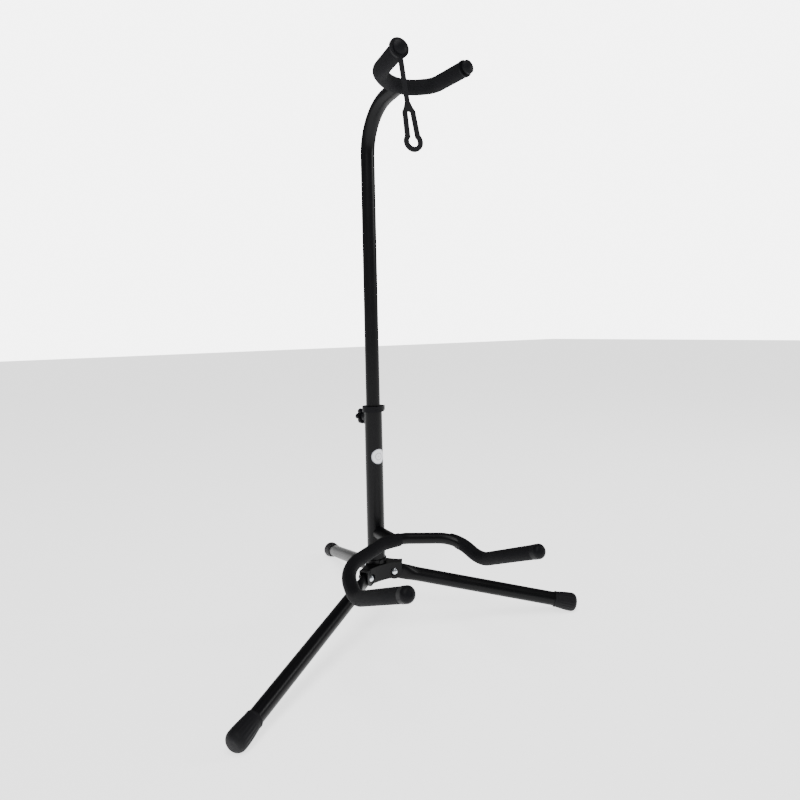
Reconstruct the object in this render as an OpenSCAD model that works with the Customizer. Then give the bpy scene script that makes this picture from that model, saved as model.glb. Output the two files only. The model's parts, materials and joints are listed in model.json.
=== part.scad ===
// Folding tubular stand for one guitar: a tripod of three hinged legs, a clamped telescopic post,
// a padded cradle for the body and a padded yoke with a rubber strap for the neck.
// Origin: on the floor under the axis of the post. +Z is up, and the guitar leans in from -Y.

/* [Lower post] */
// Outside diameter of the lower post
post_d = 25; // [24:0.5:30]
// Wall of the lower post
post_wall = 1.3; // [1:0.1:1.5]
// Height of the open upper end of the lower post
post_top = 309; // [270:1:380]
// Height of the open lower end of the lower post
post_bottom = 64; // [63:0.5:66]

/* [Neck tube] */
// Outside diameter of the neck tube
neck_d = 20; // [17:0.5:20]
// Wall of the neck tube
neck_wall = 1.2; // [0.9:0.1:2]
// Length of the neck tube inside the post as it stands
neck_inside = 95; // [80:1:110]
// Height at which the neck tube starts to bend forward
bend_z = 671; // [560:1:760]
// Bend radius of the neck tube, on its centre line
bend_r = 68; // [50:1:90]
// Angle through which the neck tube bends
bend_angle = 84; // [70:1:88]

/* [Height clamp] */
// Wall of the clamp collar round the post
collar_wall = 3; // [3:0.5:5]
// Height of the clamp collar
collar_h = 8; // [7:0.5:16]
// Thickness of the collar lip that covers the end of the post
collar_lip = 2; // [1.5:0.5:4]
// Diameter of the clamp boss
boss_d = 16; // [15:0.5:20]
// Distance from the skin of the post to the outer face of the clamp boss
boss_depth = 9.5; // [9:0.5:14]
// Distance of the clamp screw below the top of the post
clamp_drop = 15.5; // [13:0.5:20]
// Diameter of the clamp screw
clamp_screw_d = 6; // [5:0.5:6]
// Diameter of the pressure pad
pad_d = 8; // [7:0.5:9]
// Diameter of the clamp knob over its lobes
knob_d = 21; // [18:0.5:28]
// Length of the knob from boss to outer face
knob_len = 13.5; // [12:0.5:20]
// Number of lobes on the clamp knob
knob_lobes = 6; // [5:1:8]

/* [Hub and legs] */
// Distance of the leg pivots out from the skin of the post
pivot_reach = 13.5; // [13.5:0.5:18]
// Height of the leg pivots
pivot_z = 72.5; // [72:0.5:76]
// Sheet thickness of the hub
hub_sheet = 2; // [1.5:0.1:2.5]
// Radius of the round hub cheeks about each pivot
cheek_r = 10.5; // [9:0.5:11]
// Wall of the hub boss round the post
hub_boss_wall = 1.7; // [1.5:0.1:4]
// Height of the hub boss above the hub plate
hub_boss_h = 6; // [6:0.5:12]
// Turn of each front leg away from straight ahead
front_leg_turn = 57; // [50:1:62]
// Turn of the rear leg from straight ahead
rear_leg_turn = 170; // [168:1:192]
// Outside diameter of the leg tubes
leg_d = 19; // [16:0.5:21]
// Wall of the leg tubes
leg_wall = 1.2; // [0.9:0.1:2]
// Length of each leg from its pivot to the end of its boot
leg_len = 272; // [220:1:330]
// Height of the flattened inner end of each leg
blade_h = 22; // [20:0.5:22]
// Thickness of the flattened inner end of each leg
blade_t = 9; // [8:0.5:11]
// Diameter of the pivot bolts
bolt_d = 5; // [4:0.5:6]
// Diameter of the pivot bolt heads
bolt_head_d = 9.2; // [9:0.1:11]

/* [Boots] */
// Length of each rubber boot
boot_len = 34; // [30:1:50]
// Thickest wall of each rubber boot
boot_wall = 3.25; // [3:0.05:5]
// Wall of each rubber boot at its mouth
boot_lip = 1.4; // [1.2:0.1:2.5]
// Thickness of rubber past the end of the leg
boot_floor = 4; // [3:0.5:8]
// Height of the underside of the tube over the floor at the end of the boot
boot_lift = 1; // [0.5:0.1:2]

/* [Cradle] */
// Outside diameter of the bent cradle tube
cradle_d = 15; // [12:0.5:16]
// Wall of the cradle tube
cradle_wall = 1.2; // [0.9:0.1:2]
// Thickness of the foam over the cradle tube
cradle_foam_t = 1.3; // [1:0.1:4]
// Height of the middle of the cradle tube
cradle_z = 129.5; // [124:0.5:150]
// Distance of the middle of the cradle tube in front of the post axis
cradle_y = 52; // [45:1:60]
// Half width of the straight middle of the cradle tube
cradle_mid = 16; // [15:0.5:18]
// Diameter of the stub that joins the cradle to the post
stub_d = 18.5; // [14:0.5:19]
// Outer bend, to the side of the post
outer_x = 85; // [75:1:100]
// Outer bend, in front of the post
outer_y = 80.5; // [72:0.5:88]
// Outer bend, height
outer_z = 122; // [116:0.5:128]
// Lower bend, to the side of the post
lower_x = 93.4; // [86:0.2:105]
// Lower bend, in front of the post
lower_y = 126.6; // [120:0.2:140]
// Lower bend, height
lower_z = 102.5; // [96:0.5:112]
// Tip of the prong, to the side of the post
prong_x = 91.6; // [86:0.2:105]
// Tip of the prong, in front of the post
prong_y = 247; // [220:0.5:290]
// Tip of the prong, height
prong_z = 149; // [140:0.5:170]
// Radius of the outer bends, on the centre line
outer_bend_r = 48; // [36:1:50]
// Radius of the lower bends, on the centre line
lower_bend_r = 44; // [30:1:46]

/* [Yoke] */
// Diameter of the yoke rod
yoke_rod_d = 10; // [8:0.5:12]
// Thickness of the foam over the yoke rod
yoke_foam_t = 5; // [3:0.5:7]
// Corner of the yoke, to the side
yoke_corner_x = 40.5; // [36:0.5:50]
// Corner of the yoke, in front of the vertex of the yoke
yoke_corner_y = 36.6; // [32:0.1:42]
// Tip of the yoke, to the side
yoke_tip_x = 48.8; // [44:0.2:60]
// Tip of the yoke, in front of the vertex of the yoke
yoke_tip_y = 107.8; // [95:0.2:130]
// Rise of each yoke arm, in degrees
yoke_rise = 3; // [0:0.5:12]
// Radius of the middle bend of the yoke, on the centre line
yoke_mid_r = 40; // [34:1:42]
// Radius of the corner bends of the yoke, on the centre line
yoke_corner_r = 29; // [20:1:30]
// Distance of the vertex of the yoke in front of the post axis
yoke_y = 78.5; // [74:0.5:96]

/* [Yoke caps and strap] */
// Diameter of the flange of each yoke cap
flange_d = 21; // [20:0.5:26]
// Thickness of the flange of each yoke cap
flange_t = 2.5; // [1.5:0.1:4]
// Diameter of the head of each yoke cap
head_d = 17; // [15:0.5:19]
// Height of the head of each yoke cap
head_h = 6; // [5:0.5:8]
// Wall of the cap over the yoke rod in the groove between flange and head
groove_wall = 1.3; // [1:0.1:1.5]
// Thickness of the rubber strap
strap_t = 3; // [2:0.1:4]
// Outside diameter of the strap's ring
strap_ring_d = 24; // [22:0.5:28]
// Width of the strap between ring and loop
strap_w = 5.8; // [4:0.2:8]
// Distance from the centre of the ring to the centre of the keyhole
strap_len = 109; // [90:1:150]
// Outside diameter of the round end of the loop
loop_d = 23.5; // [20:0.5:30]
// Diameter of the round hole in the loop
loop_hole_d = 12; // [10:0.5:14]
// Distance from the centre of the keyhole up to the top of its slot
loop_slot = 33; // [26:1:44]
// Turn of the strap from hanging straight down
strap_lean = 7; // [0:1:10]

/* [Label] */
// Diameter of the round label on the post
label_d = 21.4; // [15:0.2:24]
// Height of the centre of the round label
label_z = 239.5; // [160:0.5:260]
// Thickness of the round label
label_t = 0.2; // [0.15:0.05:0.5]
// Turn of the round label round the post, from straight ahead
label_turn = 15; // [-40:1:40]

/* [Hidden] */
$fn = 64;

painted_black = "#1d1d20";
plastic_black = "#17171a";
foam_black = "#232326";
rubber_black = "#1b1b1e";
zinc_plated = "#b9bcc2";

// Clearances
run_gap = 0.08;      // radial gap of a sliding or turning fit
side_gap = 0.3;      // gap on each side of a leg between the hub cheeks
free_gap = 0.5;      // gap that keeps two moving pieces apart
cut = 1;             // overshoot of every cut
swell = 0.1;         // a tube grows this much in diameter where it is bent
lap = 1;             // straight lengths run this far into the bends
foam_gap = 0.1;      // foam bore over the tube it sits on

// Lower post and what stands in it
post_r = post_d / 2;
post_bore_r = post_r - post_wall;
neck_r = neck_d / 2;
plug_flange = 2;
plug_len = 10;
bush_len = 24;
bush_lip = 1.5;

// Height clamp, whose axis lies along +Y
collar_d = post_d + 2 * collar_wall;
boss_reach = post_r + boss_depth;
collar_top = post_top + collar_lip;
clamp_z = post_top - clamp_drop;
pad_back = post_r - 0.1;
nut_flats = 10;
nut_t = 5;
nut_y = boss_reach - nut_t - 1.8;
nut_pocket_y = post_r - 2;
knob_y = boss_reach + free_gap;
knob_neck = 3.5;
knob_core_d = 0.72 * knob_d;
lobe_r = 0.17 * knob_d;
skirt_w = boss_d + 2;
ear_d = 7;

// Hub, with one arm for each leg
pivot_r = post_r + pivot_reach;
hub_boss_d = post_d + 2 * hub_boss_wall;
arm_root = post_r + 2.5;
leg_turns = [-front_leg_turn, front_leg_turn, rear_leg_turn];
head_sides = [1, -1, 1];
blade_r = blade_h / 2;
slot_w = blade_t + 2 * side_gap;
arm_w = slot_w + 2 * hub_sheet;
plate_z = pivot_z + blade_r + free_gap;
hub_top = plate_z + hub_sheet;
wall_bottom = pivot_z - 8.5;
corner_r = pivot_r + 4;
corner_w = arm_w - 1.2;
wall_sag = 4;
bolt_head_h = 2.8;
washer_t = 1;
leg_nut_flats = 8;
leg_nut_t = 4;
hub_screw_d = 5;
hub_screw_head = 1.6;
hub_screw_z = hub_top + hub_boss_h / 2;
spot_face = 0.2;
head_seat = arm_w / 2 - spot_face;
spot_face_d = 2 * bolt_d + 1.4;
screw_seat = hub_boss_d / 2 - 0.5;

// Legs, each drawn along +X from its pivot
boot_d = leg_d + 2 * boot_wall;
boot_mouth_d = leg_d + 2 * boot_lip;
boot_end_z = leg_d / 2 + boot_lift;
leg_slope = asin((pivot_z - boot_end_z) / leg_len);
blade_end = 13;
tube_start = 32;
tube_end = leg_len - boot_floor;
boot_start = leg_len - boot_len;
boot_round = 3;

// Cradle: straight middle, outer bend, lower bend and tip of one side
cradle_foam_d = cradle_d + 2 * cradle_foam_t;
cradle_half = [[cradle_mid, -cradle_y, cradle_z], [outer_x, -outer_y, outer_z],
    [lower_x, -lower_y, lower_z], [prong_x, -prong_y, prong_z]];
cradle_points = concat(mirrored(cradle_half), cradle_half);
mid_bend_r = 30;
cradle_radii = [lower_bend_r, outer_bend_r, mid_bend_r, mid_bend_r, outer_bend_r, lower_bend_r];
sleeve_end_x = 10;
short_sleeve_x = 71;
cap_cover = 9;
cap_len = 15;
cap_d = cradle_foam_d + 0.6;

// Yoke: its vertex, the corner and the tip of one side
yoke_foam_d = yoke_rod_d + 2 * yoke_foam_t;
groove_d = yoke_rod_d + 2 * groove_wall;
bend_end = [0, -bend_r * (1 - cos(bend_angle)), bend_z + bend_r * sin(bend_angle)];
neck_out = [0, -sin(bend_angle), cos(bend_angle)];
neck_corner = [0, 0, bend_z + bend_r * tan(bend_angle / 2)];
yoke_vertex = bend_end + neck_out * ((yoke_y + bend_end[1]) / sin(bend_angle));
function on_yoke(x, y) = yoke_vertex + [x, -y * cos(yoke_rise), y * sin(yoke_rise)];
yoke_half = [on_yoke(yoke_corner_x, yoke_corner_y), on_yoke(yoke_tip_x, yoke_tip_y)];
yoke_out = unit(yoke_half[1] - yoke_half[0]);
rod_half = [yoke_half[0], yoke_half[1] - yoke_out * (head_h + 0.2)];
yoke_points = concat(mirrored(rod_half), [yoke_vertex], rod_half);
yoke_radii = [yoke_corner_r, yoke_mid_r, yoke_corner_r];
yoke_mid_turn = atan2(yoke_corner_y, yoke_corner_x);
yoke_mid = on_yoke(0, yoke_mid_r * (1 / cos(yoke_mid_turn) - 1));
groove_len = strap_t + 2 * 0.2;
yoke_cap_len = flange_t + groove_len + head_h;
yoke_foam_end = on_yoke(yoke_tip_x, yoke_tip_y) - yoke_out * yoke_cap_len;

// Strap
ring_bore_r = groove_d / 2 + run_gap;
slot_top_w = 4.6;
slot_low_w = 7.4;
loop_rim = 5.6;
strap_at = yoke_foam_end + yoke_out * (flange_t + groove_len / 2);

function unit(v) = v / norm(v);
function flipped(p) = [-p[0], p[1], p[2]];
function mirrored(list) = [for (i = [len(list) - 1:-1:0]) flipped(list[i])];
// Distance from a bent corner to the start of its arc
function reach(a, b, c, r) = r * tan((180 - corner(a, b, c)) / 2);
function corner(a, b, c) = acos(unit(a - b) * unit(c - b));
// Any direction at right angles to d
function across(d) = unit(abs(d[2]) < 0.9 ? cross([0, 0, 1], d) : cross([1, 0, 0], d));

// Puts its children at p with their Z axis along z and their X axis along x
module placed(p, z, x) {
    y = cross(z, x);
    multmatrix([[x[0], y[0], z[0], p[0]], [x[1], y[1], z[1], p[1]], [x[2], y[2], z[2], p[2]]])
        children();
}

module straight(a, b, d) {
    along = unit(b - a);
    placed(a, along, across(along)) cylinder(d = d, h = norm(b - a));
}

module bend(a, b, c, r, d) {
    turn = 180 - corner(a, b, c);
    t = reach(a, b, c, r);
    from = b + unit(a - b) * t;
    to = b + unit(c - b) * t;
    centre = b + unit(unit(a - b) + unit(c - b)) * (r / cos(turn / 2));
    placed(centre, unit(cross(from - centre, to - centre)), unit(from - centre))
        rotate_extrude(angle = turn, $fn = 96) translate([r, 0]) circle(d = d + swell);
}

// A round bar along points, with one bend radius for each inner point
module bar(points, radii, d, over = 0) {
    last = len(points) - 1;
    ends = [for (i = [0:last]) i == 0 || i == last ? -over
        : reach(points[i - 1], points[i], points[i + 1], radii[i - 1]) - lap];
    for (i = [0:last - 1]) {
        along = unit(points[i + 1] - points[i]);
        straight(points[i] + along * ends[i], points[i + 1] - along * ends[i + 1], d);
    }
    for (i = [1:last - 1]) bend(points[i - 1], points[i], points[i + 1], radii[i - 1], d);
}

module bent(points, radii, d, bore) {
    difference() {
        bar(points, radii, d);
        bar(points, radii, bore, cut);
    }
}

// Lays its children along +Y at the height of the clamp screw
module on_clamp(y) {
    translate([0, y, clamp_z]) rotate([-90, 0, 0]) children();
}

module lower_post() {
    color(painted_black) difference() {
        translate([0, 0, post_bottom]) cylinder(r = post_r, h = post_top - post_bottom);
        translate([0, 0, post_bottom - cut])
            cylinder(r = post_bore_r, h = post_top - post_bottom + 2 * cut);
        on_clamp(0) cylinder(d = pad_d + 0.4, h = post_r + cut);
        translate([0, 0, hub_screw_z]) rotate([90, 0, 0]) cylinder(d = hub_screw_d, h = post_r + cut);
    }
}

module post_plug() {
    color(plastic_black) translate([0, 0, post_bottom]) {
        translate([0, 0, -plug_flange]) cylinder(r = post_r - 0.2, h = plug_flange);
        cylinder(r = post_bore_r, h = plug_len);
    }
}

// Turns its children to the arm of one leg, with +X outward
module on_arm(turn) {
    rotate([0, 0, turn - 90]) children();
}

// Moves its children to one leg: +X down the leg, +Y across it
module on_leg(i) {
    on_arm(leg_turns[i]) translate([pivot_r, 0, pivot_z]) rotate([0, leg_slope, 0]) children();
}

// Corner of the hub's plan beside one arm, which lies within that arm's own block
function arm_corner(turn, side, w) =
    [sin(turn) * corner_r - side * cos(turn) * w / 2, -cos(turn) * corner_r - side * sin(turn) * w / 2];

// Plan of the hub: the arm ends joined by hollow curves, all drawn in by inset
module hub_plan(inset) {
    difference() {
        polygon([for (turn = leg_turns) for (side = [1, -1]) arm_corner(turn, side, corner_w - 2 * inset)]);
        for (i = [0:2]) {
            a = arm_corner(leg_turns[i], -1, corner_w);
            b = arm_corner(leg_turns[(i + 1) % 3], 1, corner_w);
            span = norm(b - a);
            out = [(b - a)[1], -(b - a)[0]] / span;
            r = (span * span / 4 + wall_sag * wall_sag) / (2 * wall_sag);
            translate((a + b) / 2 + out * (r - wall_sag)) circle(r = r + inset, $fn = 128);
        }
    }
}

// Outline of one arm from the side, with the pivot at the origin and +X outward
module arm_side() {
    inner = arm_root - pivot_r;
    top = hub_top - pivot_z - 0.3;
    polygon(concat([[inner, top], [cheek_r, top]],
        [for (a = [0:-15:-120]) cheek_r * [cos(a), sin(a)]],
        [[inner, wall_bottom - pivot_z]]));
}

module leg_hub() {
    color(painted_black) difference() {
        union() {
            difference() {
                translate([0, 0, wall_bottom]) linear_extrude(hub_top - wall_bottom) hub_plan(0);
                translate([0, 0, wall_bottom - cut]) linear_extrude(plate_z - wall_bottom + cut)
                    hub_plan(hub_sheet);
            }
            translate([0, 0, plate_z + hub_sheet / 2])
                cylinder(d = hub_boss_d, h = hub_sheet / 2 + hub_boss_h);
            for (turn = leg_turns) on_arm(turn) translate([pivot_r, arm_w / 2, pivot_z])
                rotate([90, 0, 0]) linear_extrude(arm_w) arm_side();
        }
        translate([0, 0, post_bottom - 2 * cut]) cylinder(r = post_r, h = post_top);
        for (turn = leg_turns) on_arm(turn) {
            translate([post_r + cut, -slot_w / 2, wall_bottom - cheek_r])
                cube([2 * pivot_r, slot_w, plate_z - wall_bottom + cheek_r + 0.1]);
            translate([pivot_r, arm_w, pivot_z]) rotate([90, 0, 0])
                cylinder(d = bolt_d + 0.2, h = 2 * arm_w);
            for (side = [0, 1]) mirror([0, side, 0]) translate([pivot_r, head_seat, pivot_z])
                rotate([-90, 0, 0]) cylinder(d = spot_face_d, h = arm_w);
        }
        translate([0, 0, hub_screw_z]) rotate([90, 0, 0]) cylinder(d = hub_screw_d, h = hub_boss_d);
        translate([0, -screw_seat, hub_screw_z]) rotate([90, 0, 0])
            cylinder(d = hub_screw_d + 1.6, h = hub_boss_d);
    }
}

module hub_screw() {
    tip = post_bore_r + 0.2;
    color(painted_black) translate([0, 0, hub_screw_z]) rotate([90, 0, 0]) {
        translate([0, 0, tip]) cylinder(d = hub_screw_d, h = screw_seat - tip);
        translate([0, 0, screw_seat]) cylinder(d = hub_screw_d + 1.4, h = hub_screw_head);
    }
}

// One leg: flattened hinge end, the swell up to the round tube, and the hollow tube
module leg(i) {
    color(painted_black) on_leg(i) difference() {
        union() {
            translate([0, blade_t / 2, 0]) rotate([90, 0, 0]) linear_extrude(blade_t) {
                circle(r = blade_r);
                translate([0, -blade_r]) square([blade_end, blade_h]);
            }
            hull() {
                translate([blade_end - 0.2, -blade_t / 2, -blade_r]) cube([0.2, blade_t, blade_h]);
                translate([tube_start, 0, 0]) rotate([0, 90, 0]) cylinder(d = leg_d, h = 0.2, $fn = 32);
            }
            translate([tube_start, 0, 0]) rotate([0, 90, 0])
                cylinder(d = leg_d, h = tube_end - tube_start);
        }
        translate([0, blade_t, 0]) rotate([90, 0, 0])
            cylinder(d = bolt_d + 2 * run_gap, h = 2 * blade_t);
        translate([tube_start + 4, 0, 0]) rotate([0, 90, 0])
            cylinder(d = leg_d - 2 * leg_wall, h = tube_end - tube_start);
    }
}

// Boot: a flared rubber cup with a rounded end, cut flat where it stands on the floor
module boot(i) {
    belly = boot_len - 2 * boot_round;
    color(rubber_black) difference() {
        on_leg(i) translate([boot_start, 0, 0]) rotate([0, 90, 0]) difference() {
            union() {
                cylinder(d1 = boot_mouth_d, d2 = boot_d, h = belly);
                translate([0, 0, belly]) cylinder(d = boot_d, h = boot_round);
                translate([0, 0, belly + boot_round])
                    cylinder(d1 = boot_d, d2 = boot_d - 1.4 * boot_round, h = boot_round);
            }
            translate([0, 0, -cut]) cylinder(d = leg_d, h = boot_len - boot_floor + cut);
        }
        on_leg(i) translate([leg_len, 0, 0]) rotate([0, -leg_slope, 0])
            translate([-2 * boot_len, -boot_len, -boot_end_z - boot_len])
            cube([4 * boot_len, 2 * boot_len, boot_len]);
    }
}

// Lays its children across one arm, with +Z towards the bolt head
module on_bolt(i) {
    on_arm(leg_turns[i]) translate([pivot_r, 0, pivot_z]) rotate([-90 * head_sides[i], 0, 0]) children();
}

module leg_bolts() {
    shank = 2 * head_seat + washer_t + leg_nut_t + 1.5;
    dome_r = (bolt_head_d * bolt_head_d / 4 + bolt_head_h * bolt_head_h) / (2 * bolt_head_h);
    color(zinc_plated) for (i = [0:2]) on_bolt(i) {
        translate([0, 0, head_seat - shank]) cylinder(d = bolt_d, h = shank);
        translate([0, 0, head_seat]) intersection() {
            cylinder(d = bolt_head_d, h = bolt_head_h);
            translate([0, 0, bolt_head_h - dome_r]) sphere(r = dome_r);
        }
    }
}

module leg_washers() {
    color(zinc_plated) for (i = [0:2]) on_bolt(i) translate([0, 0, -head_seat - washer_t])
        difference() {
            cylinder(d = 2 * bolt_d, h = washer_t);
            translate([0, 0, -cut]) cylinder(d = bolt_d + 0.1, h = washer_t + 2 * cut);
        }
}

module leg_nuts() {
    color(zinc_plated) for (i = [0:2]) on_bolt(i)
        translate([0, 0, -head_seat - washer_t - leg_nut_t]) difference() {
            cylinder(d = leg_nut_flats / cos(30), h = leg_nut_t, $fn = 6);
            translate([0, 0, -cut]) cylinder(d = bolt_d, h = leg_nut_t + 2 * cut);
        }
}

module cradle_stub() {
    bar = [0, -cradle_y, cradle_z];
    color(painted_black) difference() {
        translate([0, 0, cradle_z]) rotate([90, 0, 0]) cylinder(d = stub_d, h = cradle_y);
        translate([0, 0, cradle_z - stub_d]) cylinder(r = post_r, h = 2 * stub_d);
        translate(bar - [stub_d, 0, 0]) rotate([0, 90, 0]) cylinder(d = cradle_d, h = 2 * stub_d);
    }
}

module cradle_rod() {
    color(painted_black) bent(cradle_points, cradle_radii, cradle_d, cradle_d - 2 * cradle_wall);
}

// Last point of the foam on one side, where the cap begins
function cradle_foam_tip(side) =
    let (tip = cradle_half[3], in = unit(cradle_half[2] - tip), p = tip + in * cap_cover)
    [side * p[0], p[1], p[2]];

// The long sleeve runs from the middle of the cradle over the whole left arm
module cradle_sleeve_left() {
    left = [for (p = cradle_half) flipped(p)];
    color(foam_black) difference() {
        bent([[sleeve_end_x, -cradle_y, cradle_z], left[0], left[1], left[2], cradle_foam_tip(-1)],
            [mid_bend_r, outer_bend_r, lower_bend_r], cradle_foam_d, cradle_d + foam_gap);
        translate([0, 0, cradle_z]) rotate([90, 0, 0])
            cylinder(d = stub_d + 2 * run_gap, h = cradle_y);
    }
}

// The short sleeve is cut off square to the front within the outer bend of the right arm
module cradle_sleeve_right() {
    color(foam_black) difference() {
        bent([cradle_half[0], cradle_half[1], cradle_half[2], cradle_foam_tip(1)],
            [outer_bend_r, lower_bend_r], cradle_foam_d, cradle_d + foam_gap);
        translate([short_sleeve_x - outer_x, -2 * outer_y, 0]) cube([outer_x, 2 * outer_y, 2 * cradle_z]);
    }
}

// Rounded plastic cap over the end of a cradle prong, drawn in its own half profile
module cradle_cap(side) {
    at = cradle_foam_tip(side);
    out = unit([side * prong_x, -prong_y, prong_z] - [side * lower_x, -lower_y, lower_z]);
    dome = cap_d / 2 - 2;
    color(plastic_black) placed(at, out, across(out)) difference() {
        rotate_extrude() {
            square([cap_d / 2, cap_len - dome]);
            square([cap_d / 2 - dome, cap_len]);
            translate([cap_d / 2 - dome, cap_len - dome]) intersection() {
                circle(r = dome);
                square(dome);
            }
        }
        translate([0, 0, -cut]) cylinder(d = cradle_d, h = cap_cover + cut);
    }
}

module round_label() {
    color("#d8d9dc") rotate([0, 0, label_turn]) intersection() {
        translate([0, 0, label_z - label_d]) difference() {
            cylinder(r = post_r + label_t, h = 2 * label_d);
            translate([0, 0, -cut]) cylinder(r = post_r, h = 2 * label_d + 2 * cut);
        }
        translate([0, 0, label_z]) rotate([90, 0, 0]) cylinder(d = label_d, h = post_d);
    }
}

module clamp_collar() {
    skirt_bottom = clamp_z - boss_d / 2 - 1;
    color(plastic_black) difference() {
        union() {
            translate([0, 0, collar_top - collar_h]) cylinder(d = collar_d, h = collar_h);
            intersection() {
                translate([0, 0, skirt_bottom]) cylinder(d = collar_d - 0.6, h = collar_top - skirt_bottom);
                translate([-skirt_w / 2, 0, skirt_bottom])
                    cube([skirt_w, collar_d, collar_top - skirt_bottom - 0.5]);
            }
            on_clamp(0) cylinder(d = boss_d, h = boss_reach);
            translate([collar_d / 2 - 0.5, 0, collar_top - collar_h + 0.6])
                cylinder(d = ear_d, h = collar_h - 1.2);
        }
        translate([0, 0, skirt_bottom - cut]) cylinder(r = post_r, h = post_top - skirt_bottom + cut);
        cylinder(r = neck_r + 0.15, h = collar_top + cut);
        on_clamp(0) cylinder(d = clamp_screw_d + 0.6, h = boss_reach + cut);
        on_clamp(0) cylinder(d = pad_d + 0.6, h = nut_y);
        on_clamp(nut_pocket_y)
            cylinder(d = nut_flats / cos(30) + 0.1, h = nut_y + nut_t - nut_pocket_y, $fn = 6);
    }
}

module clamp_nut() {
    color(zinc_plated) on_clamp(nut_y) difference() {
        cylinder(d = nut_flats / cos(30), h = nut_t, $fn = 6);
        translate([0, 0, -cut]) cylinder(d = clamp_screw_d + 2 * run_gap, h = nut_t + 2 * cut);
    }
}

module clamp_pad() {
    color("#b08d57") difference() {
        on_clamp(0) cylinder(d = pad_d, h = pad_back);
        translate([0, 0, clamp_z - pad_d]) cylinder(r = neck_r + run_gap, h = 2 * pad_d);
    }
}

module clamp_screw() {
    color(zinc_plated) on_clamp(pad_back + 0.02) cylinder(d = clamp_screw_d, h = knob_y + 9 - pad_back);
}

module clamp_knob() {
    color(plastic_black) on_clamp(knob_y) difference() {
        union() {
            cylinder(d = boss_d - 3, h = knob_neck + cut);
            translate([0, 0, knob_neck]) linear_extrude(knob_len - knob_neck) {
                circle(d = knob_core_d);
                for (i = [0:knob_lobes - 1]) rotate(i * 360 / knob_lobes)
                    translate([knob_d / 2 - lobe_r, 0]) circle(r = lobe_r);
            }
        }
        translate([0, 0, -cut]) cylinder(d = clamp_screw_d, h = 9.02 + cut);
    }
}

// Bush that carries the lower end of the neck tube in the post
module guide_bush() {
    low = post_top - neck_inside - bush_lip - 0.1;
    color("#d9d7cf") translate([0, 0, low]) difference() {
        cylinder(r = post_bore_r - run_gap, h = bush_len);
        translate([0, 0, bush_lip]) cylinder(r = neck_r + run_gap, h = bush_len);
        translate([0, 0, -cut]) cylinder(r = neck_r - 2, h = bush_len);
    }
}

module neck_tube() {
    low = post_top - neck_inside;
    color(painted_black) difference() {
        bent([[0, 0, low], neck_corner, yoke_mid], [bend_r], neck_d, neck_d - 2 * neck_wall);
        bend(yoke_half[0], yoke_vertex, flipped(yoke_half[0]), yoke_mid_r, yoke_rod_d + foam_gap);
    }
}

module yoke_rod() {
    color(painted_black) bar(yoke_points, yoke_radii, yoke_rod_d);
}

// Foam on one side of the yoke, from its middle to the cap, cut back around the neck tube
module yoke_sleeve(side) {
    far = [-side * yoke_half[0][0], yoke_half[0][1], yoke_half[0][2]];
    near = [side * yoke_half[0][0], yoke_half[0][1], yoke_half[0][2]];
    end = [side * yoke_foam_end[0], yoke_foam_end[1], yoke_foam_end[2]];
    path = [far, yoke_vertex, near, end];
    bulk = 4 * yoke_tip_y;
    color(foam_black) difference() {
        bar(path, [yoke_mid_r, yoke_corner_r], yoke_foam_d);
        bar(path, [yoke_mid_r, yoke_corner_r], yoke_rod_d + foam_gap, cut);
        translate(yoke_vertex - [side * (bulk / 2 - free_gap / 2), 0, 0]) cube(bulk, center = true);
        straight(bend_end, yoke_mid, neck_d + 2 * side_gap);
    }
}

// Cap pushed over the end of the yoke rod: socket, flange, groove and domed head
module yoke_cap(side) {
    out = [side * yoke_out[0], yoke_out[1], yoke_out[2]];
    at = [side * yoke_foam_end[0], yoke_foam_end[1], yoke_foam_end[2]];
    dome_r = (head_d * head_d / 4 + head_h * head_h / 4) / head_h;
    neck_end = flange_t + groove_len;
    color(plastic_black) placed(at, out, across(out)) difference() {
        union() {
            cylinder(d = flange_d, h = flange_t);
            cylinder(d = groove_d, h = neck_end + cut);
            translate([0, 0, neck_end]) cylinder(d = head_d, h = head_h / 2);
            translate([0, 0, neck_end + head_h / 2]) intersection() {
                cylinder(d = head_d, h = head_h);
                translate([0, 0, head_h / 2 - dome_r]) sphere(r = dome_r);
            }
        }
        translate([0, 0, -cut]) cylinder(d = yoke_rod_d, h = neck_end + cut);
    }
}

module disc(y, d, over = 0) {
    translate([0, y, -strap_t / 2 - over]) cylinder(d = d, h = strap_t + 2 * over);
}

// A flat strip along -Y whose width changes from one end to the other
module strip(y_top, y_low, w_top, w_low, over = 0) {
    translate([0, 0, -strap_t / 2 - over]) linear_extrude(strap_t + 2 * over)
        polygon([[-w_top / 2, y_top], [w_top / 2, y_top], [w_low / 2, y_low], [-w_low / 2, y_low]]);
}

// Strap with its ring at the origin and the keyhole loop below it along -Y
module strap_shape() {
    top = loop_slot - strap_len;
    fork = top + 14;
    rim = 2 * loop_rim;
    difference() {
        union() {
            disc(0, strap_ring_d);
            strip(0, fork - 2, strap_w, strap_w - 0.6);
            strip(fork + 3, top + 3, strap_w / 2, slot_top_w + rim - 2.5);
            disc(top, slot_top_w + rim + 0.4);
            strip(top, 6 - strap_len, slot_top_w + rim, slot_low_w + rim);
            disc(-strap_len, loop_d);
        }
        disc(0, 2 * ring_bore_r, cut);
        disc(top, slot_top_w + 0.3, cut);
        strip(top, 2 - strap_len, slot_top_w, slot_low_w, cut);
        disc(-strap_len, loop_hole_d, cut);
    }
}

module neck_strap() {
    out = flipped(yoke_out);
    level = unit(cross(out, [0, 0, 1]));
    color(rubber_black) placed(flipped(strap_at), out, -level) rotate(strap_lean) strap_shape();
}

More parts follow.
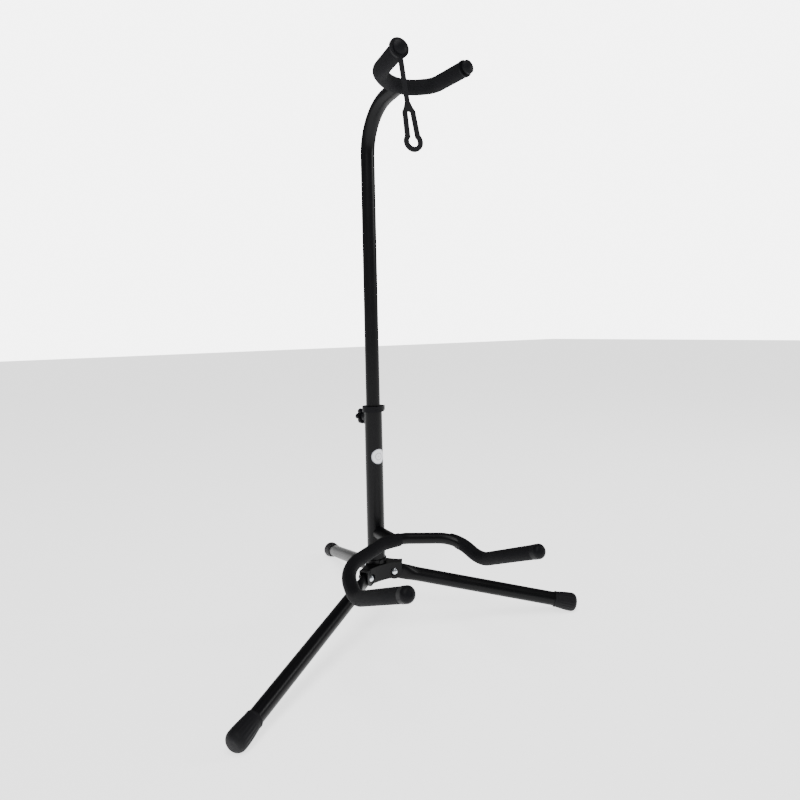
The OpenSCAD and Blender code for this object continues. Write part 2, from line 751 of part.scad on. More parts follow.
lower_post();
post_plug();
leg_hub();
hub_screw();
cradle_stub();
cradle_rod();
cradle_sleeve_left();
cradle_sleeve_right();
cradle_cap(-1);  // cradle_cap_left
cradle_cap(1);  // cradle_cap_right
round_label();
clamp_collar();
clamp_nut();
clamp_pad();
clamp_screw();
clamp_knob();
guide_bush();
neck_tube();
yoke_rod();
yoke_sleeve(-1);  // yoke_sleeve_left
yoke_sleeve(1);  // yoke_sleeve_right
yoke_cap(-1);  // yoke_cap_left
yoke_cap(1);  // yoke_cap_right
neck_strap();
leg(0);  // leg_left
leg(1);  // leg_right
leg(2);  // leg_rear
boot(0);  // boot_left
boot(1);  // boot_right
boot(2);  // boot_rear
leg_bolts();
leg_washers();
leg_nuts();
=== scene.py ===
import json
import math
import bmesh
import bpy
from mathutils import Matrix, Vector


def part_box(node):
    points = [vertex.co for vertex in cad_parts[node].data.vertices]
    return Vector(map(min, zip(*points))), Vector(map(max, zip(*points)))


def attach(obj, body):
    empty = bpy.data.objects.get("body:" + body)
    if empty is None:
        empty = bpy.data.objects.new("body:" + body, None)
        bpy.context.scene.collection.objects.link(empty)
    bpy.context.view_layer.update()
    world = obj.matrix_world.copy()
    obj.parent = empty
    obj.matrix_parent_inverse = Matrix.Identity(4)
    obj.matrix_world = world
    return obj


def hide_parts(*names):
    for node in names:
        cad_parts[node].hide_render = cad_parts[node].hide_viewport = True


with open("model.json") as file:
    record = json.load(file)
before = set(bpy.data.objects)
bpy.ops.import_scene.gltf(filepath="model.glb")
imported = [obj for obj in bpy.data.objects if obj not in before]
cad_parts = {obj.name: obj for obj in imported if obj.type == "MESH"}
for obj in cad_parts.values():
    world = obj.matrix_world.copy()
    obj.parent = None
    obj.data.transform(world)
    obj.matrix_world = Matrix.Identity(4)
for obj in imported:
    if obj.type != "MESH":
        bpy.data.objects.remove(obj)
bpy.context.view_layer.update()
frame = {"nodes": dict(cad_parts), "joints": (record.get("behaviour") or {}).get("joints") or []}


# --- Camera -------------------------------------------------------------------------------------
# The stand is seen from its front left, from about a metre away and level with its post clamp.
# The camera is turned past the post, and its frame is shifted to put the stand left of centre.
MM = 0.001
camera_azimuth = math.radians(-27)
camera_distance = 881.8 * MM
camera_height = 422.8 * MM
camera_pan = math.radians(9.97)
camera_pitch = math.radians(0.3)
camera_roll = math.radians(-1.22)

heading = camera_pan - camera_azimuth
forward = Vector((math.sin(heading) * math.cos(camera_pitch),
                  math.cos(heading) * math.cos(camera_pitch),
                  -math.sin(camera_pitch)))
level_right = Vector((math.cos(heading), -math.sin(heading), 0))
level_up = level_right.cross(forward)
image_right = level_right * math.cos(camera_roll) + level_up * math.sin(camera_roll)
image_up = level_up * math.cos(camera_roll) - level_right * math.sin(camera_roll)

lens = bpy.data.cameras.new("camera")
lens.sensor_width = 36
lens.lens = 27.1
lens.shift_x = -0.0966
lens.shift_y = -0.0886
camera = bpy.data.objects.new("camera", lens)
turn = Matrix((image_right, image_up, -forward)).transposed().to_4x4()
place = Vector((camera_distance * math.sin(camera_azimuth),
                -camera_distance * math.cos(camera_azimuth), camera_height))
camera.matrix_world = Matrix.Translation(place) @ turn
bpy.context.scene.collection.objects.link(camera)
bpy.context.scene.camera = camera


# --- Floor and light ----------------------------------------------------------------------------
# A plain pale floor in a white studio. One soft lamp stands high on the left, one overhead, and a
# smaller one on the right draws the long highlights down the tubes. The room looks white but
# lights the stand only faintly, so that its black stays deep.
def linear(hex_colour):
    """A colour written as sRGB hex, in linear light."""
    parts = [int(hex_colour[i:i + 2], 16) / 255 for i in (1, 3, 5)]
    return tuple(p / 12.92 if p <= 0.04045 else ((p + 0.055) / 1.055) ** 2.4 for p in parts) + (1,)


def add_node(tree, kind, settings=None, links=None, **properties):
    """Adds one node, with its own settings and the sockets that feed it."""
    made = tree.nodes.new(kind)
    for name, value in properties.items():
        setattr(made, name, value)
    for socket, value in (settings or {}).items():
        made.inputs[socket].default_value = value
    for socket, source in (links or {}).items():
        tree.links.new(source, made.inputs[socket])
    return made


def new_material(name):
    """An empty node material and its shader."""
    made = bpy.data.materials.new(name)
    made.use_nodes = True
    tree = made.node_tree
    return made, tree, tree.nodes["Principled BSDF"]


def give(piece, material):
    """Puts one material on a piece, in place of what it had."""
    piece.data.materials.clear()
    piece.data.materials.append(material)
    for face in piece.data.polygons:
        face.material_index = 0


world = bpy.data.worlds.new("studio")
bpy.context.scene.world = world
world.use_nodes = True
backdrop = world.node_tree.nodes["Background"]
backdrop.inputs["Color"].default_value = linear("#ffffff")
room_as_light = 0.22
room_as_seen = 6.0
rays = world.node_tree.nodes.new("ShaderNodeLightPath")
seen = world.node_tree.nodes.new("ShaderNodeMapRange")
seen.inputs["To Min"].default_value = room_as_light
seen.inputs["To Max"].default_value = room_as_seen
world.node_tree.links.new(rays.outputs["Is Camera Ray"], seen.inputs["Value"])
world.node_tree.links.new(seen.outputs["Result"], backdrop.inputs["Strength"])


def soft_lamp(name, place, aim, size, power):
    """A square lamp at place, turned to face aim."""
    data = bpy.data.lights.new(name, "AREA")
    data.size = size
    data.energy = power
    lamp = bpy.data.objects.new(name, data)
    lamp.location = place
    lamp.rotation_euler = (Vector(aim) - Vector(place)).to_track_quat("-Z", "Y").to_euler()
    bpy.context.scene.collection.objects.link(lamp)


soft_lamp("key", (-1.2, -1.3, 2.0), (0, -0.1, 0.3), 0.8, 26)
soft_lamp("fill", (1.7, -1.0, 1.1), (0, -0.1, 0.3), 0.5, 12)
soft_lamp("top", (-0.3, -0.7, 2.4), (0, 0, 0.3), 1.2, 24)

floor_half_width = 12
floor_glow = 1.8
floor_material, tree, shader = new_material("studio_floor_matt_paint")
where = add_node(tree, "ShaderNodeTexCoord").outputs["Object"]
mottle = add_node(tree, "ShaderNodeTexNoise", {"Scale": 3.0, "Detail": 2.0}, {"Vector": where})
tone = add_node(tree, "ShaderNodeValToRGB", links={"Fac": mottle.outputs["Fac"]})
tone.color_ramp.elements[0].color = linear("#f4f4f4")
tone.color_ramp.elements[1].color = linear("#fafafa")
tree.links.new(tone.outputs["Color"], shader.inputs["Base Color"])
shader.inputs["Roughness"].default_value = 0.9
shader.inputs["Specular IOR Level"].default_value = 0.1
shader.inputs["Emission Color"].default_value = linear("#ffffff")
shader.inputs["Emission Strength"].default_value = floor_glow
bm = bmesh.new()
bmesh.ops.create_grid(bm, x_segments=1, y_segments=1, size=floor_half_width)
floor_mesh = bpy.data.meshes.new("floor")
bm.to_mesh(floor_mesh)
bm.free()
floor = bpy.data.objects.new("floor", floor_mesh)
bpy.context.scene.collection.objects.link(floor)
give(floor, floor_material)


# --- Post, hub and steel tubes --------------------------------------------------------------------
# Drawn steel tube and a pressed steel hub, welded and sprayed with black powder. The baked powder
# leaves a semi-gloss coat with a faint orange peel, a little duller where it lies thicker. Its
# reflection is kept low, which gives a deep black.
powder_coat, tree, shader = new_material("powder_coated_steel_baked")
peel_mm = 1.6
patch_mm = 40
where = add_node(tree, "ShaderNodeTexCoord").outputs["Object"]
peel = add_node(tree, "ShaderNodeTexNoise", {"Scale": 1 / (peel_mm * MM), "Detail": 2.0}, {"Vector": where})
patches = add_node(tree, "ShaderNodeTexNoise", {"Scale": 1 / (patch_mm * MM), "Detail": 3.0},
                   {"Vector": where})
tone = add_node(tree, "ShaderNodeValToRGB", links={"Fac": patches.outputs["Fac"]})
tone.color_ramp.elements[0].color = linear("#060607")
tone.color_ramp.elements[1].color = linear("#0b0b0d")
gloss = add_node(tree, "ShaderNodeMapRange", {"To Min": 0.30, "To Max": 0.42},
                 {"Value": patches.outputs["Fac"]})
skin = add_node(tree, "ShaderNodeBump", {"Strength": 0.25, "Distance": 0.00008},
                {"Height": peel.outputs["Fac"]})
tree.links.new(tone.outputs["Color"], shader.inputs["Base Color"])
tree.links.new(gloss.outputs["Result"], shader.inputs["Roughness"])
tree.links.new(skin.outputs["Normal"], shader.inputs["Normal"])
shader.inputs["IOR"].default_value = 1.52
shader.inputs["Specular IOR Level"].default_value = 0.1
shader.inputs["Coat Weight"].default_value = 0.04
shader.inputs["Coat Roughness"].default_value = 0.2

nodes = frame["nodes"]
for name in ("lower_post", "leg_hub", "cradle_stub", "cradle_rod", "neck_tube", "yoke_rod",
             "hub_screw"):
    give(nodes[name], powder_coat)


# --- Moulded plastic: collar, caps and plug -------------------------------------------------------
# Nylon and ABS mouldings, dyed black right through. The mould was lightly spark-eroded, so the
# skin is satin, with a grain of a few tenths of a millimetre.
moulded_black, tree, shader = new_material("moulded_nylon_satin")
grain_mm = 0.5
where = add_node(tree, "ShaderNodeTexCoord").outputs["Object"]
grain = add_node(tree, "ShaderNodeTexNoise", {"Scale": 1 / (grain_mm * MM), "Detail": 3.0}, {"Vector": where})
tone = add_node(tree, "ShaderNodeValToRGB", links={"Fac": grain.outputs["Fac"]})
tone.color_ramp.elements[0].color = linear("#09090b")
tone.color_ramp.elements[1].color = linear("#121215")
skin = add_node(tree, "ShaderNodeBump", {"Strength": 0.3, "Distance": 0.00006},
                {"Height": grain.outputs["Fac"]})
gloss = add_node(tree, "ShaderNodeMapRange", {"To Min": 0.42, "To Max": 0.55},
                 {"Value": grain.outputs["Fac"]})
tree.links.new(tone.outputs["Color"], shader.inputs["Base Color"])
tree.links.new(gloss.outputs["Result"], shader.inputs["Roughness"])
tree.links.new(skin.outputs["Normal"], shader.inputs["Normal"])
shader.inputs["IOR"].default_value = 1.53
shader.inputs["Specular IOR Level"].default_value = 0.07

for name in ("post_plug", "clamp_collar", "cradle_cap_left", "cradle_cap_right",
             "yoke_cap_left", "yoke_cap_right"):
    give(nodes[name], moulded_black)


# --- Small metal and the bush ---------------------------------------------------------------------
# Bolts, washers, nuts and clamp screw are zinc-plated steel: bright, with a faint blue cast and
# fine turning marks. The pad is turned brass and the bush is natural nylon.
def bright_metal(name, dark, light, low, high, mark_mm):
    """A bright finish between two colours and two roughnesses, with marks of one size."""
    made, tree, shader = new_material(name)
    where = add_node(tree, "ShaderNodeTexCoord").outputs["Object"]
    marks = add_node(tree, "ShaderNodeTexNoise", {"Scale": 1 / (mark_mm * MM), "Detail": 4.0},
                     {"Vector": where})
    tone = add_node(tree, "ShaderNodeValToRGB", links={"Fac": marks.outputs["Fac"]})
    tone.color_ramp.elements[0].color = linear(dark)
    tone.color_ramp.elements[1].color = linear(light)
    gloss = add_node(tree, "ShaderNodeMapRange", {"To Min": low, "To Max": high},
                     {"Value": marks.outputs["Fac"]})
    tree.links.new(tone.outputs["Color"], shader.inputs["Base Color"])
    tree.links.new(gloss.outputs["Result"], shader.inputs["Roughness"])
    return made, shader


zinc_plate, shader = bright_metal("zinc_plated_steel_turned", "#aeb3ba", "#d9dce0", 0.18, 0.34, 0.7)
shader.inputs["Metallic"].default_value = 1
turned_brass, shader = bright_metal("brass_turned", "#a8864c", "#cdb079", 0.25, 0.4, 0.5)
shader.inputs["Metallic"].default_value = 1
natural_nylon, shader = bright_metal("nylon_natural_moulded", "#d6d3c8", "#e4e1d8", 0.4, 0.55, 0.8)

for name in ("clamp_nut", "clamp_screw", "leg_bolts", "leg_washers", "leg_nuts"):
    give(nodes[name], zinc_plate)
give(nodes["clamp_pad"], turned_brass)
give(nodes["guide_bush"], natural_nylon)


# --- Legs -----------------------------------------------------------------------------------------
# Three lengths of 19 mm steel tube. The inner end of each is pressed flat into a blade that fits
# between the hub cheeks, so the tube swells from the blade to full round over a few centimetres.
joints = {joint["name"]: joint for joint in frame["joints"]}
leg_radius = 9.5 * MM
blade_half_height = 11 * MM
blade_half_width = 4.5 * MM
blade_end = 13 * MM
swell_end = 36 * MM
leg_length = 268 * MM
pivot_to_boot_end = 272 * MM
fall_to_boot_end = 62 * MM
leg_drop = math.asin(fall_to_boot_end / pivot_to_boot_end)
swell_steps = 12
nose_steps = 8
nose_angle = math.radians(10.5)


def made_piece(name, bm, material):
    """Turns a bmesh into a finished, linked piece."""
    bmesh.ops.remove_doubles(bm, verts=bm.verts, dist=1e-6)
    bmesh.ops.recalc_face_normals(bm, faces=bm.faces)
    mesh = bpy.data.meshes.new(name)
    bm.to_mesh(mesh)
    bm.free()
    mesh.shade_smooth()
    mesh.set_sharp_from_angle(angle=math.radians(38))
    piece = bpy.data.objects.new(name, mesh)
    bpy.context.scene.collection.objects.link(piece)
    give(piece, material)
    return piece


def carry(bm, edges, move, scale=(1, 1, 1)):
    """Extrudes an open ring of edges by move, scales it about its new centre, and returns it."""
    grown = bmesh.ops.extrude_edge_only(bm, edges=edges)["geom"]
    verts = [g for g in grown if isinstance(g, bmesh.types.BMVert)]
    bmesh.ops.translate(bm, verts=verts, vec=move)
    if scale != (1, 1, 1):
        middle = sum((v.co for v in verts), Vector()) / len(verts)
        bmesh.ops.scale(bm, verts=verts, vec=scale, space=Matrix.Translation(-middle))
    fresh = set(verts)
    return [g for g in grown if isinstance(g, bmesh.types.BMEdge) and set(g.verts) <= fresh]


def leg_frame(joint):
    """The leg's own frame: X down the leg from its pivot, Y across it along the pivot bolt."""
    across = Vector(joint["axis"])
    outward = across.cross(Vector((0, 0, 1)))
    along = outward * math.cos(leg_drop) - Vector((0, 0, 1)) * math.sin(leg_drop)
    above = along.cross(across)
    turned = Matrix((along, across, above)).transposed().to_4x4()
    return Matrix.Translation(Vector(joint["pos_m"])) @ turned


for side in ("left", "right", "rear"):
    bm = bmesh.new()
    disc = bmesh.ops.create_circle(bm, segments=48, radius=leg_radius,
                                   matrix=Matrix.Rotation(math.pi / 2, 4, "Y"))
    bmesh.ops.translate(bm, verts=disc["verts"], vec=(leg_length, 0, 0))
    ring = list(bm.edges)
    ring = carry(bm, ring, Vector((swell_end - leg_length, 0, 0)))
    length = (blade_end - swell_end) / swell_steps
    height = width = leg_radius
    for step in range(1, swell_steps + 1):
        ease = 0.5 - 0.5 * math.cos(math.pi * step / swell_steps)
        new_height = leg_radius + (blade_half_height - leg_radius) * ease
        new_width = leg_radius + (blade_half_width - leg_radius) * ease
        ring = carry(bm, ring, Vector((length, 0, 0)), (1, new_width / width, new_height / height))
        height, width = new_height, new_width
    ring = carry(bm, ring, Vector((-blade_end, 0, 0)))
    for step in range(1, nose_steps + 1):
        before, after = (step - 1) * nose_angle, step * nose_angle
        inward = blade_half_height * (math.sin(before) - math.sin(after))
        ring = carry(bm, ring, Vector((inward, 0, 0)), (1, 1, math.cos(after) / math.cos(before)))
    bmesh.ops.holes_fill(bm, edges=bm.edges)
    bmesh.ops.transform(bm, matrix=leg_frame(joints["leg_%s_fold" % side]), verts=bm.verts)
    leg = made_piece("leg_%s_tube" % side, bm, powder_coat)
    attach(leg, "leg_" + side)
    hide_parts("leg_" + side)


# --- Boots ----------------------------------------------------------------------------------------
# A black rubber boot is pushed over the end of each leg. It flares towards a rounded outer end,
# has shallow flutes along it for grip, and is moulded flat where it stands on the floor.
moulded_rubber, tree, shader = new_material("natural_rubber_moulded")
bloom_mm = 6
where = add_node(tree, "ShaderNodeTexCoord").outputs["Object"]
bloom = add_node(tree, "ShaderNodeTexNoise", {"Scale": 1 / (bloom_mm * MM), "Detail": 5.0}, {"Vector": where})
tone = add_node(tree, "ShaderNodeValToRGB", links={"Fac": bloom.outputs["Fac"]})
tone.color_ramp.elements[0].color = linear("#09090b")
tone.color_ramp.elements[1].color = linear("#131316")
gloss = add_node(tree, "ShaderNodeMapRange", {"To Min": 0.55, "To Max": 0.75},
                 {"Value": bloom.outputs["Fac"]})
skin = add_node(tree, "ShaderNodeBump", {"Strength": 0.25, "Distance": 0.00008},
                {"Height": bloom.outputs["Fac"]})
tree.links.new(tone.outputs["Color"], shader.inputs["Base Color"])
tree.links.new(gloss.outputs["Result"], shader.inputs["Roughness"])
tree.links.new(skin.outputs["Normal"], shader.inputs["Normal"])
shader.inputs["IOR"].default_value = 1.52
shader.inputs["Specular IOR Level"].default_value = 0.14

boot_length = 34 * MM
boot_from = 238 * MM
mouth_radius = 10.9 * MM
belly_radius = 12.7 * MM
flutes = 20
flute_depth = 0.45 * MM
flute_start = 9 * MM
flute_stop = 6 * MM
mouth_bevel = 0.5 * MM
bead_step = 0.35 * MM
bead_length = 2.75 * MM
flare_steps = 16
corner_depth = 8 * MM
corner_radius = 7.6 * MM
corner_steps = 9
corner_angle = math.radians(9)
sole_height = 0.05 * MM

# How far each ring of the boot lies from the last one, and its radius: bead, flare, round corner.
sections = [(0.15 * MM, mouth_radius - 0.2 * MM), (0.5 * MM, mouth_radius), (1.6 * MM, mouth_radius),
            (0.5 * MM, mouth_radius - bead_step)]
flare = boot_length - bead_length - corner_depth
for i in range(1, flare_steps + 1):
    ease = math.sin(math.pi / 2 * i / flare_steps)
    sections.append((flare / flare_steps,
                     mouth_radius - bead_step + (belly_radius - mouth_radius + bead_step) * ease))
for i in range(1, corner_steps + 1):
    before, after = (i - 1) * corner_angle, i * corner_angle
    sections.append((corner_radius * (math.sin(after) - math.sin(before)),
                     belly_radius - corner_radius * (1 - math.cos(after))))

for side in ("left", "right", "rear"):
    bm = bmesh.new()
    radius = mouth_radius - mouth_bevel
    disc = bmesh.ops.create_circle(bm, segments=6 * flutes, radius=radius,
                                   matrix=Matrix.Rotation(math.pi / 2, 4, "Y"))
    bmesh.ops.translate(bm, verts=disc["verts"], vec=(boot_from, 0, 0))
    ring = list(bm.edges)
    for step, new_radius in sections:
        grow = new_radius / radius
        ring = carry(bm, ring, Vector((step, 0, 0)), (1, grow, grow))
        radius = new_radius
    bmesh.ops.holes_fill(bm, edges=bm.edges)
    flute_from = boot_from + flute_start
    flute_to = boot_from + boot_length - flute_stop
    for vert in bm.verts:
        share = (vert.co.x - flute_from) / (flute_to - flute_from)
        if 0 < share < 1:
            around = math.atan2(vert.co.z, vert.co.y)
            hollow = 0.5 - 0.5 * math.cos(flutes * around)
            dip = flute_depth * math.sqrt(math.sin(math.pi * share)) * hollow
            spoke = Vector((0, vert.co.y, vert.co.z))
            vert.co -= spoke.normalized() * dip
    bmesh.ops.transform(bm, matrix=leg_frame(joints["leg_%s_fold" % side]), verts=bm.verts)
    bmesh.ops.bisect_plane(bm, geom=bm.verts[:] + bm.edges[:] + bm.faces[:], plane_co=(0, 0, sole_height),
                           plane_no=(0, 0, -1), clear_outer=True)
    bmesh.ops.holes_fill(bm, edges=bm.edges)
    boot = made_piece("boot_%s_rubber" % side, bm, moulded_rubber)
    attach(boot, "leg_" + side)
    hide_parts("boot_" + side)


# --- Round label ----------------------------------------------------------------------------------
# A disc of silvered polyester film, stuck on the front of the post and wrapped round it. It has a
# soft brushed sheen, a darker rim, one thin ring and a dark middle, and carries no print.
silver_film, tree, shader = new_material("polyester_film_silvered")
low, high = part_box("round_label")
label_height = (low.z + high.z) / 2
label_radius = (high.z - low.z) / 2
label_turn = math.radians(3)
film_thickness = 0.2 * MM
post_low, post_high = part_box("lower_post")
film_radius = (post_high.x - post_low.x) / 2 + film_thickness
brush_mm = 0.6
where = add_node(tree, "ShaderNodeTexCoord").outputs["Object"]
spread = add_node(tree, "ShaderNodeUVMap", uv_map="film").outputs["UV"]
from_middle = add_node(tree, "ShaderNodeVectorMath", links={0: spread}, operation="LENGTH")
bands = add_node(tree, "ShaderNodeValToRGB", links={"Fac": from_middle.outputs["Value"]})
rings = [(0.00, "#5c5f66"), (0.10, "#dcdde0"), (0.40, "#dcdde0"), (0.44, "#6a6d74"), (0.52, "#dcdde0"),
         (0.86, "#dcdde0"), (0.92, "#9a9ca2")]
bands.color_ramp.elements[0].color = linear(rings[0][1])
bands.color_ramp.elements[1].position = rings[-1][0]
bands.color_ramp.elements[1].color = linear(rings[-1][1])
for position, colour in rings[1:-1]:
    bands.color_ramp.elements.new(position).color = linear(colour)
brushed = add_node(tree, "ShaderNodeTexNoise", {"Scale": 1 / (brush_mm * MM), "Detail": 3.0},
                   {"Vector": where})
gloss = add_node(tree, "ShaderNodeMapRange", {"To Min": 0.28, "To Max": 0.45},
                 {"Value": brushed.outputs["Fac"]})
tree.links.new(bands.outputs["Color"], shader.inputs["Base Color"])
tree.links.new(gloss.outputs["Result"], shader.inputs["Roughness"])
shader.inputs["Metallic"].default_value = 0.35

# Laid out flat first, with its map, and then rolled round the post.
bm = bmesh.new()
bmesh.ops.create_circle(bm, cap_ends=True, cap_tris=True, segments=64, radius=label_radius)
bmesh.ops.subdivide_edges(bm, edges=bm.edges[:], cuts=5, use_grid_fill=True)
film_map = bm.loops.layers.uv.new("film")
for face in bm.faces:
    for loop in face.loops:
        loop[film_map].uv = (loop.vert.co.x / label_radius, loop.vert.co.y / label_radius)
for vert in bm.verts:
    along, up = vert.co.x, vert.co.y
    angle = label_turn + along / film_radius
    vert.co = (film_radius * math.sin(angle), -film_radius * math.cos(angle), label_height + up)
film = made_piece("label_film", bm, silver_film)
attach(film, "base")
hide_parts("round_label")


# --- Foam sleeves ---------------------------------------------------------------------------------
# Closed-cell rubber foam, extruded as a tube with fine ribs along it and pushed over the bent
# steel, which it follows round each bend. It is soft and matt, and the cut ends are slightly round.
foam, tree, shader = new_material("nitrile_foam_extruded")
cell_mm = 0.45
scuff_mm = 14
where = add_node(tree, "ShaderNodeTexCoord").outputs["Object"]
cells = add_node(tree, "ShaderNodeTexNoise", {"Scale": 1 / (cell_mm * MM), "Detail": 4.0}, {"Vector": where})
scuffs = add_node(tree, "ShaderNodeTexNoise", {"Scale": 1 / (scuff_mm * MM), "Detail": 4.0},
                  {"Vector": where})
tone = add_node(tree, "ShaderNodeValToRGB", links={"Fac": scuffs.outputs["Fac"]})
tone.color_ramp.elements[0].color = linear("#08080a")
tone.color_ramp.elements[1].color = linear("#101013")
gloss = add_node(tree, "ShaderNodeMapRange", {"To Min": 0.68, "To Max": 0.85},
                 {"Value": scuffs.outputs["Fac"]})
skin = add_node(tree, "ShaderNodeBump", {"Strength": 0.5, "Distance": 0.00015},
                {"Height": cells.outputs["Fac"]})
tree.links.new(tone.outputs["Color"], shader.inputs["Base Color"])
tree.links.new(gloss.outputs["Result"], shader.inputs["Roughness"])
tree.links.new(skin.outputs["Normal"], shader.inputs["Normal"])
shader.inputs["Specular IOR Level"].default_value = 0.08
shader.inputs["Sheen Weight"].default_value = 0.02
shader.inputs["Sheen Roughness"].default_value = 0.5


def ribbed_bar(points, bend_radii, radius, ribs, rib_depth, end_round):
    """A ribbed bar that runs along points and turns at each inner one with its own radius."""
    points = [Vector(p) * MM for p in points]
    bm = bmesh.new()
    along = (points[1] - points[0]).normalized()
    facing = Matrix.Translation(points[0]) @ along.to_track_quat("Z", "Y").to_matrix().to_4x4()
    disc = bmesh.ops.create_circle(bm, segments=2 * ribs, radius=radius, matrix=facing)
    for i, vert in enumerate(disc["verts"]):
        if i % 2:
            vert.co += (points[0] - vert.co).normalized() * rib_depth
    bmesh.ops.scale(bm, verts=bm.verts, vec=(0.8,) * 3, space=Matrix.Translation(-points[0]))
    ring = list(bm.edges)
    for move, grow in ((0.12, 0.9 / 0.8), (0.28, 0.97 / 0.9), (0.6, 1 / 0.97)):
        ring = carry(bm, ring, along * end_round * move, (grow,) * 3)
    used = end_round
    for i in range(1, len(points) - 1):
        before = (points[i] - points[i - 1]).normalized()
        after = (points[i + 1] - points[i]).normalized()
        angle = before.angle(after)
        reach = bend_radii[i - 1] * MM * math.tan(angle / 2)
        ring = carry(bm, ring, before * ((points[i] - points[i - 1]).length - used - reach))
        axis = before.cross(after).normalized()
        inward = axis.cross(before)
        middle = points[i] - before * reach + inward * bend_radii[i - 1] * MM
        verts = {v for e in ring for v in e.verts}
        spun = bmesh.ops.spin(bm, geom=list(verts) + ring, cent=middle, axis=axis, angle=angle,
                              steps=max(4, int(math.degrees(angle) / 3)))
        ring = [g for g in spun["geom_last"] if isinstance(g, bmesh.types.BMEdge)]
        used = reach
    along = (points[-1] - points[-2]).normalized()
    ring = carry(bm, ring, along * ((points[-1] - points[-2]).length - used - end_round))
    for move, grow in ((0.6, 0.97), (0.28, 0.9 / 0.97), (0.12, 0.8 / 0.9)):
        ring = carry(bm, ring, along * end_round * move, (grow,) * 3)
    bmesh.ops.holes_fill(bm, edges=bm.edges)
    return bm


def foam_piece(name, bm, body, node):
    """Finishes one sleeve and puts it in place of its plain solid."""
    piece = made_piece(name, bm, foam)
    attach(piece, body)
    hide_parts(node)


def mirrored(points):
    """The same points on the other side of the post."""
    return [(-x, y, z) for x, y, z in points]


cradle_half = [(16, -52, 129.5), (85, -80.5, 122), (93.4, -126.6, 102.5), (91.6, -247, 149)]
cradle_foam_radius = 8.8 * MM
cradle_bends = (30, 48, 44)
cradle_ribs = 40
cradle_rib_depth = 0.1 * MM
foam_end_round = 1.2 * MM
cap_cover = 9
lower, tip = Vector(cradle_half[2]), Vector(cradle_half[3])
foam_tip = tip + (lower - tip).normalized() * cap_cover
short_cut_x = 79 * MM
long_path = [(10, -52, 129.5)] + mirrored(cradle_half[:3] + [tuple(foam_tip)])
long_foam = ribbed_bar(long_path, cradle_bends, cradle_foam_radius, cradle_ribs, cradle_rib_depth,
                       foam_end_round)
foam_piece("cradle_foam_left", long_foam, "base", "cradle_sleeve_left")
short_foam = ribbed_bar(cradle_half[:3] + [foam_tip], cradle_bends[1:], cradle_foam_radius, cradle_ribs,
                        cradle_rib_depth, foam_end_round)
bmesh.ops.bisect_plane(short_foam, geom=short_foam.verts[:] + short_foam.edges[:] + short_foam.faces[:],
                       plane_co=(short_cut_x, 0, 0), plane_no=(-1, 0, 0), clear_outer=True)
bmesh.ops.holes_fill(short_foam, edges=short_foam.edges)
foam_piece("cradle_foam_right", short_foam, "base", "cradle_sleeve_right")

yoke_vertex = Vector((0, -78.5, 740.478))
yoke_rise = math.radians(3)
yoke_corner = (40.5, 36.6)
yoke_tip = (48.8, 107.8)


def on_yoke(x, ahead):
    """A point of the yoke's plane, sideways and ahead of its vertex."""
    return yoke_vertex + Vector((x, -ahead * math.cos(yoke_rise), ahead * math.sin(yoke_rise)))


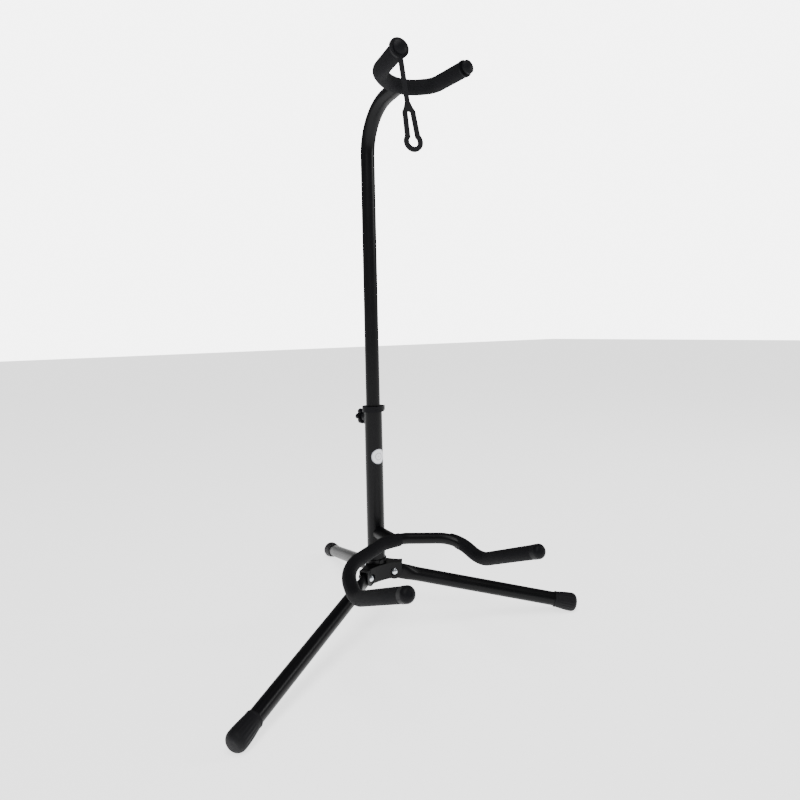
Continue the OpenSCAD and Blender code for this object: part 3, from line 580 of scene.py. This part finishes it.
yoke_foam_radius = 10 * MM
yoke_bends = (40, 29)
yoke_ribs = 36
yoke_rib_depth = 0.35 * MM
yoke_seam = 0.1 * MM
yoke_cap_length = 11.9
for side, name in ((-1, "left"), (1, "right")):
    far_corner = on_yoke(-side * yoke_corner[0], yoke_corner[1])
    corner = on_yoke(side * yoke_corner[0], yoke_corner[1])
    tip = on_yoke(side * yoke_tip[0], yoke_tip[1])
    foam_end = tip - (tip - corner).normalized() * yoke_cap_length
    bm = ribbed_bar([far_corner, yoke_vertex, corner, foam_end], yoke_bends, yoke_foam_radius,
                    yoke_ribs, yoke_rib_depth, foam_end_round)
    bmesh.ops.bisect_plane(bm, geom=bm.verts[:] + bm.edges[:] + bm.faces[:],
                           plane_co=(side * yoke_seam, 0, 0), plane_no=(-side, 0, 0), clear_outer=True)
    bmesh.ops.holes_fill(bm, edges=bm.edges)
    foam_piece("yoke_foam_" + name, bm, "neck", "yoke_sleeve_" + name)


# --- Neck strap -----------------------------------------------------------------------------------
# A moulded rubber strap with a ring at one end, snapped into the groove of the left yoke cap, and
# a keyhole loop at the other, which stretches over the other cap to keep the neck in the yoke.
give(nodes["neck_strap"], moulded_rubber)


# --- Clamp knob -----------------------------------------------------------------------------------
# A hand knob of black nylon moulded over the clamp screw: six round lobes to grip, a short neck
# towards the collar, and softly rounded edges.
lobes = 6
knob_neck = 3.5 * MM
knob_growth = 1.15
valley_share = 0.68
lobe_share = 0.28
low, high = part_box("clamp_knob")
screw_low, screw_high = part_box("clamp_screw")
screw_z = (screw_low.z + screw_high.z) / 2
knob_radius = (high.x - low.x) / 2 * knob_growth
neck_radius = 6.5 * MM
bm = bmesh.new()
facing = Matrix.Translation((0, low.y, screw_z)) @ Matrix.Rotation(-math.pi / 2, 4, "X")
bmesh.ops.create_circle(bm, segments=96, radius=neck_radius, matrix=facing)
ring = carry(bm, list(bm.edges), Vector((0, knob_neck, 0)))
hub_of_knob = Vector((0, low.y + knob_neck, screw_z))
ring = carry(bm, ring, Vector((0, 0, 0)))
for vert in {v for e in ring for v in e.verts}:
    spoke = vert.co - hub_of_knob
    lobe = abs(math.cos(lobes / 2 * math.atan2(spoke.z, spoke.x))) ** 0.8
    vert.co = hub_of_knob + spoke.normalized() * knob_radius * (valley_share + lobe_share * lobe)
ring = carry(bm, ring, Vector((0, 0.8 * MM, 0)), (1.04, 1, 1.04))
ring = carry(bm, ring, Vector((0, high.y - low.y - 6.3 * MM, 0)))
ring = carry(bm, ring, Vector((0, 1.2 * MM, 0)), (0.95, 1, 0.95))
ring = carry(bm, ring, Vector((0, 0.8 * MM, 0)), (0.86, 1, 0.86))
bmesh.ops.holes_fill(bm, edges=bm.edges)
knob = made_piece("knob_lobed", bm, moulded_black)
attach(knob, "knob")
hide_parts("clamp_knob")
